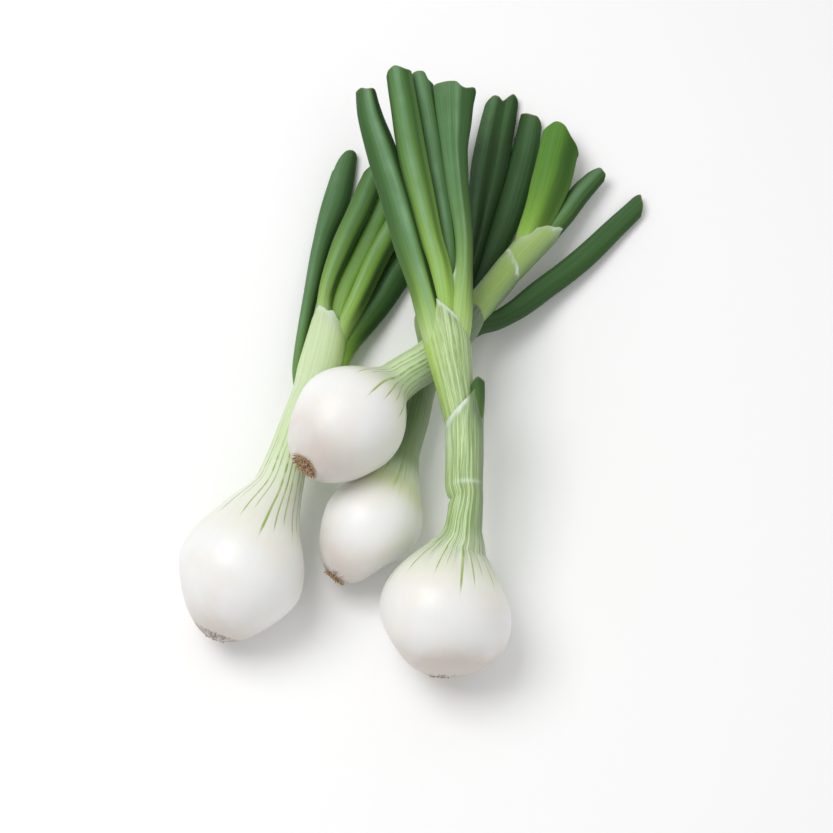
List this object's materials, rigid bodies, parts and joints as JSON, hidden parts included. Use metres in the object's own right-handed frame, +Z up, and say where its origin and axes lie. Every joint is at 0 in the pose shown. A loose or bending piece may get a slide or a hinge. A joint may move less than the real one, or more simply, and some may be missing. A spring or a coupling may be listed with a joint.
{
  "type": "spring onion bunch",
  "caption": "Bunch of trimmed spring onions with round white bulbs, lying crossed: thick necks, flat hollow green leaves cut short, root tufts.",
  "frame": {"origin": "on the table, under the middle of the bunch's bounding box", "axes": "+Z up from the table, +Y from the bulbs towards the cut leaves"},
  "size_m": [0.18, 0.2686, 0.0652],
  "materials": {
    "onion_skin": "satin",
    "leaf": "satin",
    "roots": "matte"
  },
  "bodies": {
    "root": {"right_onion_bulb_and_stem": "onion_skin", "right_onion_roots": "roots", "right_onion_leaf_1": "leaf", "right_onion_leaf_2": "leaf", "right_onion_leaf_3": "leaf", "right_onion_leaf_4": "leaf", "right_onion_leaf_stub": "leaf", "left_onion_bulb_and_stem": "onion_skin", "left_onion_roots": "roots", "left_onion_leaf_1": "leaf", "left_onion_leaf_2": "leaf", "left_onion_leaf_3": "leaf", "left_onion_leaf_4": "leaf", "left_onion_leaf_5": "leaf", "top_onion_bulb_and_stem": "onion_skin", "top_onion_roots": "roots", "top_onion_leaf_1": "leaf", "top_onion_leaf_2": "leaf", "top_onion_leaf_3": "leaf", "under_onion_bulb_and_stem": "onion_skin", "under_onion_roots": "roots", "under_onion_leaf_1": "leaf", "under_onion_leaf_2": "leaf"}
  },
  "joints": []
}
